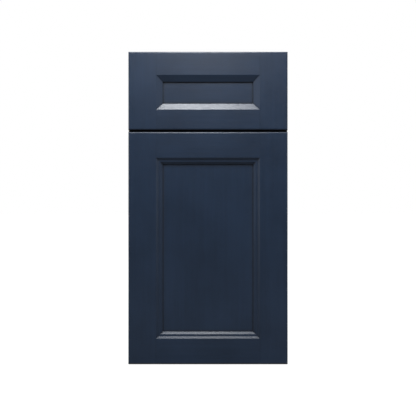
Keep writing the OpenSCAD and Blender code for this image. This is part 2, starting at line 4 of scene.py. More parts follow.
import bmesh
import bpy
from bpy.props import FloatProperty, FloatVectorProperty, PointerProperty
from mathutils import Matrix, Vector


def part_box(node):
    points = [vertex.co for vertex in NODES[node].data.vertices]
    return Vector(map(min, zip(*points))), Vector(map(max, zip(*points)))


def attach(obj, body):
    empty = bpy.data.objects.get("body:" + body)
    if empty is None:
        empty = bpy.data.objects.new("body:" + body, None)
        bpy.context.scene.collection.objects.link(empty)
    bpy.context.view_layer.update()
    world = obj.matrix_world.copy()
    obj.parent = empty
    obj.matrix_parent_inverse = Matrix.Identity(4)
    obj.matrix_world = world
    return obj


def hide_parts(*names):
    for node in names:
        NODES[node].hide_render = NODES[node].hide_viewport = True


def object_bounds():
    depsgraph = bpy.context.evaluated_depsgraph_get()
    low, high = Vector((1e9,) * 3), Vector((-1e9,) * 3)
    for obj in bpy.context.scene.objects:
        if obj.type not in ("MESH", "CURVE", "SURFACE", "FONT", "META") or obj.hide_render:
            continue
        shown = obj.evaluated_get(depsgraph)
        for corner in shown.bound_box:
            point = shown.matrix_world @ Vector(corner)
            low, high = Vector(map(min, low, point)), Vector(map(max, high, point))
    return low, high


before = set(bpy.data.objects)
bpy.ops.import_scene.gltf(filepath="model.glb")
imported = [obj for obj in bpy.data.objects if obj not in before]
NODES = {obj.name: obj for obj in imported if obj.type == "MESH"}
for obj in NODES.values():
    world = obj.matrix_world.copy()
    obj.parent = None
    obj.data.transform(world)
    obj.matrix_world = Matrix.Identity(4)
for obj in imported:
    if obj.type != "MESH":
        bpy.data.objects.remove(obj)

bl_info = {
    "name": "Bathroom vanity cabinet finish",
    "version": (1, 0, 0),
    "blender": (4, 5, 0),
    "location": "3D View > Sidebar > Vanity",
    "description": "Paint, timber, hardware finishes and a plain studio for a bathroom vanity cabinet",
    "category": "Object",
}

CAD_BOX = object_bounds()
FRONT_LOW, FRONT_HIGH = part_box("door_stile_hinge")[0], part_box("drawer_stile_right")[1]
FRONT_MIDDLE = (FRONT_LOW + FRONT_HIGH) / 2
FRONT_WIDTH = FRONT_HIGH.x - FRONT_LOW.x

UPRIGHT_PAINT = ("door_stile_hinge", "door_stile_free", "door_panel",
                 "drawer_stile_left", "drawer_stile_right")
ACROSS_PAINT = ("door_rail_top", "door_rail_bottom", "drawer_rail_top", "drawer_rail_bottom", "drawer_panel")
SIDES = ("side_left", "side_right")
# Carcass boards, each with the axis through its thickness and the axis its grain runs along
BOARDS = {
    "bottom_panel": "ZX", "top_stretcher_front": "ZX", "top_stretcher_back": "ZX", "mid_rail": "ZX",
    "shelf": "ZX", "hanging_rail_top": "YX", "hanging_rail_bottom": "YX", "back_panel": "YZ",
}
# Drawer box boards, each with the axis its grain runs along
BOX_BOARDS = {
    "drawer_box_left": "Y", "drawer_box_right": "Y", "drawer_box_front": "X", "drawer_box_back": "X",
}
HINGES = ("hinge_plate", "hinge_arm", "hinge_link", "hinge_cup")
SLIDES = ("slide_outer", "slide_middle", "slide_inner")
CAGES = ("ball_cage_outer", "ball_cage_inner")
PINS = ("hinge_arm_pins", "hinge_cup_pins", "shelf_pins")
SCREWS = ("hinge_screws", "hinge_cup_screws", "drawer_front_screws", "slide_screws_cabinet",
          "slide_screws_drawer")

# Lengths in metres and angles that hold for every piece
WELD_REACH = 0.000001  # seams closer than this are one
FLAT_WITHIN = math.radians(0.4)  # faces this near to level with each other are one
SHARP_FROM = math.radians(18)  # edges bent more than this are eased
EDGE_BAND = 0.0007  # how deep the paint on a board's front edge reaches
PAINT_WRAP = 0.00055  # how far a side panel's outer paint wraps round its eased edges
END_SKIN = 0.0005  # depth of the end grain on the drawer box's boards
FACE_SKIN = 0.00025  # depth of a plywood board's face veneer that counts as its face
NEAR_FRONTS = 0.03  # boards that start this close behind the fronts have a painted front edge
RAW_ROUGHNESS = 0.7  # raw plywood edges
END_ROUGHNESS = 0.65  # cut ends of solid birch
CORNER_SHADE_SHARE, CORNER_SHADE_DARK, CORNER_DULL = 0.95, 0.1, 0.55  # how much the painted corner shade covers and darkens, and how much it dulls the film


# ---- Sizes and colours that a user would change ----

class PaintSettings(bpy.types.PropertyGroup):
    """The navy paint on the fronts and on the outside of the side panels."""
    colour: FloatVectorProperty(name="Colour", description="Paint colour", subtype="COLOR",
                                size=3, min=0, max=1, default=(0.0178, 0.0335, 0.0665))
    rubbed: FloatVectorProperty(name="Rubbed colour", description="Paint colour where an edge is rubbed",
                                subtype="COLOR", size=3, min=0, max=1, default=(0.042, 0.060, 0.098))
    gloss: FloatProperty(name="Roughness", description="Roughness of the satin film",
                         subtype="FACTOR", min=0, max=1, default=0.31)
    peel: FloatProperty(name="Peel size", description="Size of one ripple of the sprayed film",
                        unit="LENGTH", default=0.0022)
    peel_height: FloatProperty(name="Peel height", description="Height of the sprayed film's ripple",
                               unit="LENGTH", precision=6, default=0.000012)
    # Reach of the painted corner shade: inner corners are darkened by ambient occlusion to stand in for the
    # shadow there
    pool: FloatProperty(name="Painted corner shade", description="How far the film pools out of an inner corner",
                        unit="LENGTH", precision=4, default=0.008)
    pore_height: FloatProperty(name="Pore depth", description="Depth of the wood pores under the film",
                               unit="LENGTH", precision=6, default=0.00003)


class TimberSettings(bpy.types.PropertyGroup):
    """The lacquered birch of the carcass, the shelf and the drawer box."""
    pale: FloatVectorProperty(name="Pale wood", description="Colour between the growth rings",
                              subtype="COLOR", size=3, min=0, max=1, default=(0.66, 0.49, 0.315))
    dark: FloatVectorProperty(name="Ring wood", description="Colour of the growth rings",
                              subtype="COLOR", size=3, min=0, max=1, default=(0.47, 0.315, 0.175))
    end: FloatVectorProperty(name="End grain", description="Colour of cut ends and inner plies",
                             subtype="COLOR", size=3, min=0, max=1, default=(0.31, 0.195, 0.105))
    lacquer: FloatProperty(name="Roughness", description="Roughness of the clear lacquer",
                           subtype="FACTOR", min=0, max=1, default=0.42)
    ring_width: FloatProperty(name="Ring width", description="Spacing of the growth rings",
                              unit="LENGTH", default=0.009)
    ring_length: FloatProperty(name="Ring length", description="Length of the figure along the grain",
                               unit="LENGTH", default=0.34)
    ply: FloatProperty(name="Ply thickness", description="Thickness of one veneer in a board's edge",
                       unit="LENGTH", precision=4, default=0.0014)


class HardwareSettings(bpy.types.PropertyGroup):
    """Plated steel, die-cast zinc, nylon and the soft bumpers."""
    nickel: FloatVectorProperty(name="Nickel", description="Colour of the plated hinges and screws",
                                subtype="COLOR", size=3, min=0, max=1, default=(0.66, 0.64, 0.60))
    zinc: FloatVectorProperty(name="Zinc", description="Colour of the slides and cam fittings",
                              subtype="COLOR", size=3, min=0, max=1, default=(0.55, 0.57, 0.59))
    nylon: FloatVectorProperty(name="Nylon", description="Colour of the slides' release levers",
                               subtype="COLOR", size=3, min=0, max=1, default=(0.012, 0.012, 0.014))
    bumper: FloatVectorProperty(name="Bumper", description="Tint of the clear bumpers",
                                subtype="COLOR", size=3, min=0, max=1, default=(0.82, 0.85, 0.84))


class EdgeSettings(bpy.types.PropertyGroup):
    """How far each kind of edge is eased, and how much it is rubbed."""
    front: FloatProperty(name="Front edges", description="Easing of the fronts' moulded edges",
                         unit="LENGTH", precision=5, default=0.0007)
    board: FloatProperty(name="Board edges", description="Easing of the carcass and drawer boards",
                         unit="LENGTH", precision=5, default=0.0005)
    metal: FloatProperty(name="Metal edges", description="Easing of pressed and cast metal",
                         unit="LENGTH", precision=5, default=0.00022)
    reach: FloatProperty(name="Wear reach", description="How far from an edge the rubbing shows",
                         unit="LENGTH", precision=5, default=0.0016)
    wear: FloatProperty(name="Wear", description="Share of the paint rubbed thin along an edge",
                        subtype="FACTOR", min=0, max=1, default=0.12)


class StageSettings(bpy.types.PropertyGroup):
    """The camera, the floor and the lights."""
    distance: FloatProperty(name="Camera distance", description="From the fronts to the camera",
                            unit="LENGTH", default=1.4)
    framing: FloatProperty(name="Framing", description="Width of the view over the width of the fronts",
                           default=2.604)
    key: FloatProperty(name="Key power", description="Power of the near softbox over the fronts",
                       unit="POWER", default=5)
    strip: FloatProperty(name="Strip power", description="Power of the narrow light high behind the camera",
                         unit="POWER", default=10.8)
    high: FloatProperty(name="High power", description="Power of the soft light high over the camera",
                        unit="POWER", default=12.8)
    fill: FloatProperty(name="Fill power", description="Power of each wide light beside the camera",
                        unit="POWER", default=9)
    side: FloatProperty(name="Side power", description="Power of each wide light beside the cabinet",
                        unit="POWER", default=26)
    rear: FloatProperty(name="Rear power", description="Power of the light over the cabinet's back",
                        unit="POWER", default=40)


# ---- Short calls for wiring shader nodes ----

def add(tree, kind, sockets=None, **settings):
    """One shader node: settings are its own attributes, sockets its inputs, as values or as links."""
    node = tree.nodes.new(kind)
    for name, value in settings.items():
        setattr(node, name, value)
    for name, value in (sockets or {}).items():
        if isinstance(value, bpy.types.NodeSocket):
            tree.links.new(value, node.inputs[name])
        else:
            node.inputs[name].default_value = value
    return node


def maths(tree, operation, a, b=0.0):
    """The output of one Math node."""
    return add(tree, "ShaderNodeMath", {0: a, 1: b}, operation=operation).outputs[0]


def vectors(tree, operation, a, b):
    """The vector output of one Vector Math node."""
    return add(tree, "ShaderNodeVectorMath", {0: a, 1: b}, operation=operation).outputs[0]


def between(tree, value, low, high, to_low=0.0, to_high=1.0):
    """A value stretched from one range to another and held at its ends."""
    sockets = {"Value": value, "From Min": low, "From Max": high, "To Min": to_low, "To Max": to_high}
    return add(tree, "ShaderNodeMapRange", sockets, clamp=True).outputs[0]


def noise(tree, at, scale, detail=2.0, roughness=0.5, distortion=0.0):
    """The grey output of one Noise Texture."""
    sockets = {"Vector": at, "Scale": scale, "Detail": detail, "Roughness": roughness,
               "Distortion": distortion}
    return add(tree, "ShaderNodeTexNoise", sockets).outputs["Fac"]


def blend_colours(tree, share, a, b, how="MIX"):
    """Two colours mixed; each may be a value or a link."""
    def full(colour):
        return colour if isinstance(colour, bpy.types.NodeSocket) else (*colour[:3], 1.0)
    return add(tree, "ShaderNodeMix", {0: share, 6: full(a), 7: full(b)}, data_type="RGBA",
               blend_type=how).outputs[2]


def blend_values(tree, share, a, b):
    """Two values mixed."""
    return add(tree, "ShaderNodeMix", {0: share, 2: a, 3: b}, data_type="FLOAT").outputs[0]


def place(tree):
    """The point in the cabinet's own frame, in metres."""
    return add(tree, "ShaderNodeTexCoord").outputs["Object"]


def new_group(name, inputs, outputs):
    """An empty shader group with named sockets: (tree, input node's sockets, output node)."""
    kinds = {"value": "NodeSocketFloat", "vector": "NodeSocketVector", "colour": "NodeSocketColor"}
    tree = bpy.data.node_groups.new(name, "ShaderNodeTree")
    for socket, (kind, start) in inputs.items():
        made = tree.interface.new_socket(socket, in_out="INPUT", socket_type=kinds[kind])
        if start is not None:
            made.default_value = start
    for socket, kind in outputs.items():
        tree.interface.new_socket(socket, in_out="OUTPUT", socket_type=kinds[kind])
    return tree, tree.nodes.new("NodeGroupInput").outputs, tree.nodes.new("NodeGroupOutput")


def use_group(tree, build, **sockets):
    """The outputs of a shared group placed in a material, built on its first use."""
    group = bpy.data.node_groups.get(build.__name__) or build(build.__name__)
    named = {name.replace("_", " "): value for name, value in sockets.items()}
    return add(tree, "ShaderNodeGroup", named, node_tree=group)


# ---- Effects that several finishes share ----

def edge_rub(name):
    """Where an outer edge is rubbed: the bent normal of a small bevel against the true one, broken up."""
    tree, given, out = new_group(name, {"Reach": ("value", 0.0015), "Breakup": ("value", 60.0)},
                                 {"Wear": "value"})
    soft = add(tree, "ShaderNodeBevel", {"Radius": given["Reach"]}, samples=4).outputs[0]
    true = add(tree, "ShaderNodeNewGeometry").outputs["Normal"]
    agree = add(tree, "ShaderNodeVectorMath", {0: soft, 1: true}, operation="DOT_PRODUCT").outputs["Value"]
    edge = between(tree, agree, 0.995, 0.86)
    patch = between(tree, noise(tree, place(tree), given["Breakup"], 4.0, 0.6), 0.42, 0.62)
    tree.links.new(maths(tree, "MULTIPLY", edge, patch), out.inputs["Wear"])
    return tree


def painted_corner_shade(name):
    """How deep a point sits in an inner corner, from ambient occlusion: painted shade that darkens the
    corner, and a duller film there.
    """
    tree, given, out = new_group(name, {"Reach": ("value", 0.003)}, {"Depth": "value"})
    open_sky = add(tree, "ShaderNodeAmbientOcclusion", {"Distance": given["Reach"]}, samples=6)
    tree.links.new(between(tree, open_sky.outputs["AO"], 0.94, 0.7), out.inputs["Depth"])
    return tree


def long_grain(name):
    """Wood figure along the coordinate's Z: slow rings and fine pores, each from 0 to 1."""
    tree, given, out = new_group(
        name,
        {"Coordinate": ("vector", None), "Ring width": ("value", 0.009), "Ring length": ("value", 0.3)},
        {"Rings": "value", "Pores": "value", "Tone": "value"})
    wide = maths(tree, "DIVIDE", 1.0, given["Ring width"])
    long = maths(tree, "DIVIDE", 1.0, given["Ring length"])
    stretch = add(tree, "ShaderNodeCombineXYZ", {"X": wide, "Y": wide, "Z": long}).outputs[0]
    at = vectors(tree, "MULTIPLY", given["Coordinate"], stretch)
    flow = noise(tree, at, 0.22, 3.0, 0.45, 0.6)
    rings = maths(tree, "FRACT", maths(tree, "MULTIPLY", flow, 9.0))
    crest = maths(tree, "PINGPONG", rings, 0.5)
    tree.links.new(between(tree, crest, 0.0, 0.5), out.inputs["Rings"])
    fine = vectors(tree, "MULTIPLY", given["Coordinate"], (1900.0, 1900.0, 60.0))
    pores = between(tree, noise(tree, fine, 1.0, 2.0, 0.55), 0.56, 0.72)
    tree.links.new(pores, out.inputs["Pores"])
    broad = vectors(tree, "MULTIPLY", given["Coordinate"], (22.0, 22.0, 3.0))
    tree.links.new(noise(tree, broad, 1.0, 2.0), out.inputs["Tone"])
    return tree


def sprayed_film(name):
    """A sprayed satin film: its ripple, the drift of its tone and its fine polish marks."""
    tree, given, out = new_group(
        name,
        {"Coordinate": ("vector", None), "Peel size": ("value", 0.002)},
        {"Ripple": "value", "Drift": "value", "Polish": "value", "Streaks": "value"})
    per_metre = maths(tree, "DIVIDE", 1.0, given["Peel size"])
    tree.links.new(noise(tree, given["Coordinate"], per_metre, 1.5, 0.45), out.inputs["Ripple"])
    tree.links.new(noise(tree, given["Coordinate"], 9.0, 3.0, 0.55), out.inputs["Drift"])
    tree.links.new(noise(tree, given["Coordinate"], 170.0, 3.0, 0.6), out.inputs["Polish"])
    drawn = vectors(tree, "MULTIPLY", given["Coordinate"], (120.0, 120.0, 5.0))
    tree.links.new(noise(tree, drawn, 1.0, 3.0, 0.6), out.inputs["Streaks"])
    return tree


def drawn_lines(name):
    """Fine drawing lines along the coordinate's Z, as rolled and plated metal has them."""
    tree, given, out = new_group(name, {"Coordinate": ("vector", None), "Fineness": ("value", 1.0)},
                                 {"Lines": "value", "Cloud": "value"})
    stretched = vectors(tree, "MULTIPLY", given["Coordinate"], (3200.0, 3200.0, 45.0))
    tree.links.new(noise(tree, stretched, given["Fineness"], 2.0, 0.6), out.inputs["Lines"])
    tree.links.new(noise(tree, given["Coordinate"], 55.0, 4.0, 0.6), out.inputs["Cloud"])
    return tree


def board_faces(name):
    """For a flat board: 1 on its two broad faces, and the bands of the plies in its edges."""
    tree, given, out = new_group(
        name,
        {"Across": ("value", 0.0), "Middle": ("value", 0.0), "Half": ("value", 0.008),
         "Ply": ("value", 0.0014)},
        {"Face": "value", "Band": "value"})
    off = maths(tree, "ABSOLUTE", maths(tree, "SUBTRACT", given["Across"], given["Middle"]))
    short = maths(tree, "SUBTRACT", given["Half"], FACE_SKIN)
    tree.links.new(maths(tree, "GREATER_THAN", off, short), out.inputs["Face"])
    layer = maths(tree, "FRACT", maths(tree, "DIVIDE", off, maths(tree, "MULTIPLY", given["Ply"], 2.0)))
    tree.links.new(between(tree, maths(tree, "PINGPONG", layer, 0.5), 0.2, 0.3), out.inputs["Band"])
    return tree


# ---- Finishes ----

def new_material(name):
    """An empty material: (material, its tree, its Principled shader)."""
    material = bpy.data.materials.new(name)
    material.use_nodes = True
    tree = material.node_tree
    return material, tree, tree.nodes["Principled BSDF"]


def wire(tree, shader, colour, roughness, height):
    """Links the colour, the roughness and the relief, with its height in metres, into the shader."""
    tree.links.new(colour, shader.inputs["Base Color"])
    tree.links.new(roughness, shader.inputs["Roughness"])
    bump = add(tree, "ShaderNodeBump", {"Height": height, "Distance": 1.0, "Strength": 1.0})
    tree.links.new(bump.outputs["Normal"], shader.inputs["Normal"])


def along(tree, axis, shift=(0, 0, 0)):
    """The cabinet's own coordinates, turned so that the wood runs along Z, and shifted to fresh wood."""
    turn = {"Z": (0, 0, 0), "X": (0, math.pi / 2, 0), "Y": (math.pi / 2, 0, 0)}[axis]
    sockets = {"Vector": place(tree), "Location": shift, "Rotation": turn}
    return add(tree, "ShaderNodeMapping", sockets).outputs[0]


def paint_parts(tree, axis, shift):
    """The colour, roughness and height of navy paint over wood whose grain runs along that axis."""
    paint, edges = bpy.context.scene.vanity_paint, bpy.context.scene.vanity_edges
    at = along(tree, axis, shift)
    film = use_group(tree, sprayed_film, Coordinate=at, Peel_size=paint.peel).outputs
    grain = use_group(tree, long_grain, Coordinate=at, Ring_width=0.012, Ring_length=0.4).outputs
    worn = use_group(tree, edge_rub, Reach=edges.reach, Breakup=70.0).outputs["Wear"]
    drift = between(tree, film["Drift"], 0.3, 0.7, 0.88, 1.12)
    pores = between(tree, grain["Pores"], 0.0, 1.0, 1.0, 0.86)
    streaks = between(tree, film["Streaks"], 0.3, 0.7, 0.93, 1.07)
    tone = maths(tree, "MULTIPLY", maths(tree, "MULTIPLY", drift, pores), streaks)
    grey = add(tree, "ShaderNodeCombineColor", {0: tone, 1: tone, 2: tone}).outputs[0]
    colour = blend_colours(tree, 1.0, tuple(paint.colour), grey, "MULTIPLY")
    rubbed = maths(tree, "MULTIPLY", worn, edges.wear)
    colour = blend_colours(tree, rubbed, colour, tuple(paint.rubbed))
    # Painted shade: inner corners, such as the foot of each moulding, are darkened by ambient occlusion in
    # place of their shadow; the same mask dulls the film there
    corner_shade_and_dulling = use_group(tree, painted_corner_shade, Reach=paint.pool).outputs["Depth"]
    colour = blend_colours(tree, maths(tree, "MULTIPLY", corner_shade_and_dulling, CORNER_SHADE_SHARE), colour,
                           tuple(c * CORNER_SHADE_DARK for c in paint.colour))
    rough = between(tree, film["Polish"], 0.3, 0.7, paint.gloss - 0.03, paint.gloss + 0.04)
    rough = maths(tree, "SUBTRACT", rough, maths(tree, "MULTIPLY", rubbed, 0.1))
    rough = maths(tree, "ADD", rough, maths(tree, "MULTIPLY", corner_shade_and_dulling, CORNER_DULL))
    ripple = maths(tree, "MULTIPLY", film["Ripple"], paint.peel_height)
    dents = maths(tree, "MULTIPLY", grain["Pores"], -paint.pore_height)
    return colour, rough, maths(tree, "ADD", ripple, dents)


def navy_paint(name, axis, shift):
    """Satin navy paint over open-pored wood."""
    material, tree, shader = new_material(name)
    colour, rough, height = paint_parts(tree, axis, shift)
    shader.inputs["IOR"].default_value = 1.5
    wire(tree, shader, colour, rough, height)
    return material


def birch_parts(tree, axis, shift):
    """The colour, roughness and height of lacquered birch with its grain along that axis."""
    timber = bpy.context.scene.vanity_timber
    at = along(tree, axis, shift)
    grain = use_group(tree, long_grain, Coordinate=at, Ring_width=timber.ring_width,
                      Ring_length=timber.ring_length).outputs
    share = between(tree, grain["Rings"], 0.0, 1.0, 0.0, 0.55)
    colour = blend_colours(tree, share, tuple(timber.pale), tuple(timber.dark))
    tone = between(tree, grain["Tone"], 0.3, 0.7, 0.9, 1.08)
    tone = maths(tree, "MULTIPLY", tone, between(tree, grain["Pores"], 0.0, 1.0, 1.0, 0.8))
    grey = add(tree, "ShaderNodeCombineColor", {0: tone, 1: tone, 2: tone}).outputs[0]
    colour = blend_colours(tree, 1.0, colour, grey, "MULTIPLY")
    rough = between(tree, grain["Tone"], 0.3, 0.7, timber.lacquer - 0.05, timber.lacquer + 0.06)
    height = maths(tree, "MULTIPLY", grain["Pores"], -0.00004)
    return colour, rough, height


def cut_end_colour(tree, shift=0.0):
    """Raw end grain: dark, speckled wood."""
    timber = bpy.context.scene.vanity_timber
    speck = noise(tree, vectors(tree, "ADD", place(tree), (shift, shift, shift)), 1500.0, 2.0, 0.6)
    return blend_colours(tree, between(tree, speck, 0.35, 0.7), tuple(timber.dark), tuple(timber.end))


def axis_value(tree, axis):
    """One coordinate of the point in the cabinet's frame."""
    parts = add(tree, "ShaderNodeSeparateXYZ", {0: place(tree)}).outputs
    return parts["XYZ".index(axis)]


def plywood_colour(tree, thickness_axis, low, high, face):
    """Face colour on a board's broad faces and banded plies in its edges, and the mask of the faces."""
    timber = bpy.context.scene.vanity_timber
    i = "XYZ".index(thickness_axis)
    board = use_group(tree, board_faces, Across=axis_value(tree, thickness_axis),
                      Middle=(low[i] + high[i]) / 2, Half=(high[i] - low[i]) / 2,
                      Ply=timber.ply).outputs
    plies = blend_colours(tree, board["Band"], tuple(timber.pale), cut_end_colour(tree))
    return blend_colours(tree, board["Face"], plies, face), board["Face"]


def birch_board(name, node, axes):
    """Plywood: axes are the axis through its thickness and the axis its grain runs along."""
    low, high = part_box(node)
    material, tree, shader = new_material(name)
    colour, rough, height = birch_parts(tree, axes[1], shift=(low.y * 3.7, low.z * 1.9, low.x * 2.3))
    colour, faces = plywood_colour(tree, axes[0], low, high, colour)
    rough = blend_values(tree, faces, RAW_ROUGHNESS, rough)
    if low.y < FRONT_LOW.y + NEAR_FRONTS:
        navy, navy_rough, navy_height = paint_parts(tree, axes[1], shift=(low.z * 4.7, 0.2, 0.9))
        banded = maths(tree, "LESS_THAN", axis_value(tree, "Y"), low.y + EDGE_BAND)
        colour = blend_colours(tree, banded, colour, navy)
        rough = blend_values(tree, banded, rough, navy_rough)
        height = blend_values(tree, banded, height, navy_height)
    wire(tree, shader, colour, rough, height)
    return material


def side_board(name, node, outward):
    """A side panel: navy outside and on its front edge, birch inside, plies in its raw edges."""
    low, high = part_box(node)
    material, tree, shader = new_material(name)
    colour, rough, height = birch_parts(tree, "Z", shift=(low.x * 2.9, 0.3, 0.1))
    colour, faces = plywood_colour(tree, "X", low, high, colour)
    rough = blend_values(tree, faces, RAW_ROUGHNESS, rough)
    navy, navy_rough, navy_height = paint_parts(tree, "Z", shift=(low.x * 5.1, 0.7, 0.4))
    across = axis_value(tree, "X")
    if outward > 0:
        outside = maths(tree, "GREATER_THAN", across, high.x - PAINT_WRAP)
    else:
        outside = maths(tree, "LESS_THAN", across, low.x + PAINT_WRAP)
    front = maths(tree, "LESS_THAN", axis_value(tree, "Y"), low.y + EDGE_BAND)
    painted = maths(tree, "MAXIMUM", outside, front)
    colour = blend_colours(tree, painted, colour, navy)
    rough = blend_values(tree, painted, rough, navy_rough)
    height = blend_values(tree, painted, height, navy_height)
    wire(tree, shader, colour, rough, height)
    return material


def box_board(name, node, axis):
    """Solid birch of the drawer box, with end grain where its dovetails or pins are cut off."""
    low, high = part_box(node)
    i = "XYZ".index(axis)
    material, tree, shader = new_material(name)
    colour, rough, height = birch_parts(tree, axis, shift=(low.y * 2.1, low.x * 4.3, low.z))
    off = maths(tree, "ABSOLUTE", maths(tree, "SUBTRACT", axis_value(tree, axis), (low[i] + high[i]) / 2))
    ends = maths(tree, "GREATER_THAN", off, (high[i] - low[i]) / 2 - END_SKIN)
    colour = blend_colours(tree, ends, colour, cut_end_colour(tree, low.x))
    wire(tree, shader, colour, blend_values(tree, ends, rough, END_ROUGHNESS), height)
    return material


def turned_beech(name):
    """Fluted beech of the dowels."""
    material, tree, shader = new_material(name)
    colour, rough, height = birch_parts(tree, "X", shift=(0.4, 0.2, 0.6))
    warm = blend_colours(tree, 1.0, colour, (1.0, 0.82, 0.68), "MULTIPLY")
    wire(tree, shader, warm, rough, height)
    return material


def plated_metal(name, tint, axis, rough_low, rough_high, cloud, fineness=1.0):
    """Plated or cast metal: drawn lines along an axis, soft clouding, brighter rubbed edges."""
    material, tree, shader = new_material(name)
    at = along(tree, axis)
    lines = use_group(tree, drawn_lines, Coordinate=at, Fineness=fineness).outputs
    worn = use_group(tree, edge_rub, Reach=0.0008, Breakup=160.0).outputs["Wear"]
    dull = between(tree, lines["Cloud"], 0.3, 0.7, 1.0 - cloud, 1.0 + cloud / 2)
    grey = add(tree, "ShaderNodeCombineColor", {0: dull, 1: dull, 2: dull}).outputs[0]
    colour = blend_colours(tree, 1.0, tint, grey, "MULTIPLY")
    colour = blend_colours(tree, maths(tree, "MULTIPLY", worn, 0.5), colour, (0.86, 0.85, 0.83))
    rough = between(tree, lines["Lines"], 0.3, 0.7, rough_low, rough_high)
    shader.inputs["Metallic"].default_value = 1.0
    wire(tree, shader, colour, rough, maths(tree, "MULTIPLY", lines["Lines"], 0.000006))
    return material


def moulded_nylon(name):
    """Black moulded nylon with a fine spark-eroded texture."""
    material, tree, shader = new_material(name)
    nylon = tuple(bpy.context.scene.vanity_hardware.nylon)
    at = place(tree)
    grit = noise(tree, at, 2600.0, 2.0, 0.6)
    scuff = between(tree, noise(tree, at, 140.0, 4.0, 0.6), 0.35, 0.7)
    colour = blend_colours(tree, scuff, nylon, tuple(c * 2.2 for c in nylon))
    wire(tree, shader, colour, between(tree, scuff, 0.0, 1.0, 0.48, 0.62),
         maths(tree, "MULTIPLY", grit, 0.00001))
    return material


def clear_bumper(name):
    """Soft clear polyurethane, a little cloudy."""
    material, tree, shader = new_material(name)
    tint = tuple(bpy.context.scene.vanity_hardware.bumper)
    cloud = noise(tree, place(tree), 700.0, 3.0, 0.5)
    shader.inputs["Transmission Weight"].default_value = 0.55
    shader.inputs["IOR"].default_value = 1.48
    colour = blend_colours(tree, between(tree, cloud, 0.3, 0.7), tint, tuple(c * 0.9 for c in tint))
    wire(tree, shader, colour, between(tree, cloud, 0.3, 0.7, 0.18, 0.34),
         maths(tree, "MULTIPLY", cloud, 0.00002))
    return material


# ---- Shaping ----

def finish_node(name, material, ease, segments=2, held_back=True):
    """Eases a node's edges, less where they crowd if held back, smooths its shading and gives its finish."""
    piece = NODES[name]
    weld = piece.modifiers.new("weld seams", "WELD")
    weld.merge_threshold = WELD_REACH
    flat = piece.modifiers.new("whole faces", "DECIMATE")
    flat.decimate_type = "DISSOLVE"
    flat.angle_limit = FLAT_WITHIN
    bevel = piece.modifiers.new("eased edges", "BEVEL")
    bevel.width = ease
    bevel.segments = segments
    bevel.limit_method = "ANGLE"
    bevel.angle_limit = SHARP_FROM
    bevel.use_clamp_overlap = held_back
    normals = piece.modifiers.new("flat faces stay flat", "WEIGHTED_NORMAL")
    normals.weight = 80
    normals.keep_sharp = True
    for polygon in piece.data.polygons:
        polygon.use_smooth = True
    piece.data.materials.clear()
    piece.data.materials.append(material)


def dome_outline(radius, height):
    """One bumper's outline from its seat to its crown: a short wall, then a rounded shoulder and a dome."""
    wall = height * 0.3
    shoulder = [math.radians(a) for a in range(10, 90, 10)]
    curve = [(radius * math.cos(a), wall + (height - wall) * math.sin(a)) for a in shoulder]
    return [(0.0, 0.0), (radius, 0.0), (radius, wall), *curve, (0.0, height)]


def ring_of_verts(work, centre, radius, steps):
    """A level ring of vertices about Y, or one vertex where the outline meets its axis."""
    if radius == 0.0:
        return [work.verts.new(centre)]
    turns = [2 * math.pi * k / steps for k in range(steps)]
    return [work.verts.new(centre + Vector((radius * math.cos(a), 0, radius * math.sin(a)))) for a in turns]


def domes(name, seats, radius, height, steps=40):
    """Soft bumpers, turned about Y, each rising from its seat."""
    mesh = bpy.data.meshes.new(name)
    work = bmesh.new()
    for seat in seats:
        rings = [ring_of_verts(work, seat + Vector((0, rise, 0)), r, steps)
                 for r, rise in dome_outline(radius, height)]
        for inner, outer in zip(rings, rings[1:]):
            for near in range(steps):
                far = (near + 1) % steps
                corners = [inner[near % len(inner)], inner[far % len(inner)],
                           outer[far % len(outer)], outer[near % len(outer)]]
                work.faces.new(list(dict.fromkeys(corners)))
    bmesh.ops.recalc_face_normals(work, faces=work.faces)
    for face in work.faces:
        face.smooth = True
    work.to_mesh(mesh)
    work.free()
    piece = bpy.data.objects.new(name, mesh)
    bpy.context.scene.collection.objects.link(piece)
    return piece


def solid_middles(name):
    """The middle of each separate solid of a CAD node, in the cabinet's frame."""
    work = bmesh.new()
    work.from_mesh(NODES[name].data)
    bmesh.ops.remove_doubles(work, verts=work.verts, dist=WELD_REACH)
    left, middles = set(work.verts), []
    while left:
        island, edge = set(), [left.pop()]
        while edge:
            vert = edge.pop()
            island.add(vert)
            fresh = [e.other_vert(vert) for e in vert.link_edges if e.other_vert(vert) in left]
            left.difference_update(fresh)
            edge.extend(fresh)
        points = [v.co for v in island]
        middles.append(Vector([(min(p[i] for p in points) + max(p[i] for p in points)) / 2
                               for i in range(3)]))
    work.free()
    return sorted(middles, key=lambda m: (round(m.x, 4), round(m.z, 4)))


# ---- Operators: one for each group of like pieces ----

class VANITY_OT_fronts(bpy.types.Operator):
    """Paint the door and the drawer front, with the grain along each member"""
    bl_idname = "vanity.fronts"
    bl_label = "Door and drawer front"

    def execute(self, context):
        ease = context.scene.vanity_edges.front
        for k, name in enumerate(UPRIGHT_PAINT):
            finish_node(name, navy_paint("navy_" + name, "Z", (k * 0.37, k * 0.11, k * 0.23)), ease, 3)
        for k, name in enumerate(ACROSS_PAINT):
            finish_node(name, navy_paint("navy_" + name, "X", (k * 0.29, k * 0.17, k * 0.31)), ease, 3)
        return {"FINISHED"}


class VANITY_OT_sides(bpy.types.Operator):
    """Finish the two side panels: navy outside, birch inside"""
    bl_idname = "vanity.sides"
    bl_label = "Side panels"

    def execute(self, context):
        ease = context.scene.vanity_edges.board
        for name, outward in zip(SIDES, (-1, 1)):
            board = side_board("board_" + name, name, outward)
            finish_node(name, board, ease, segments=1, held_back=False)
        return {"FINISHED"}


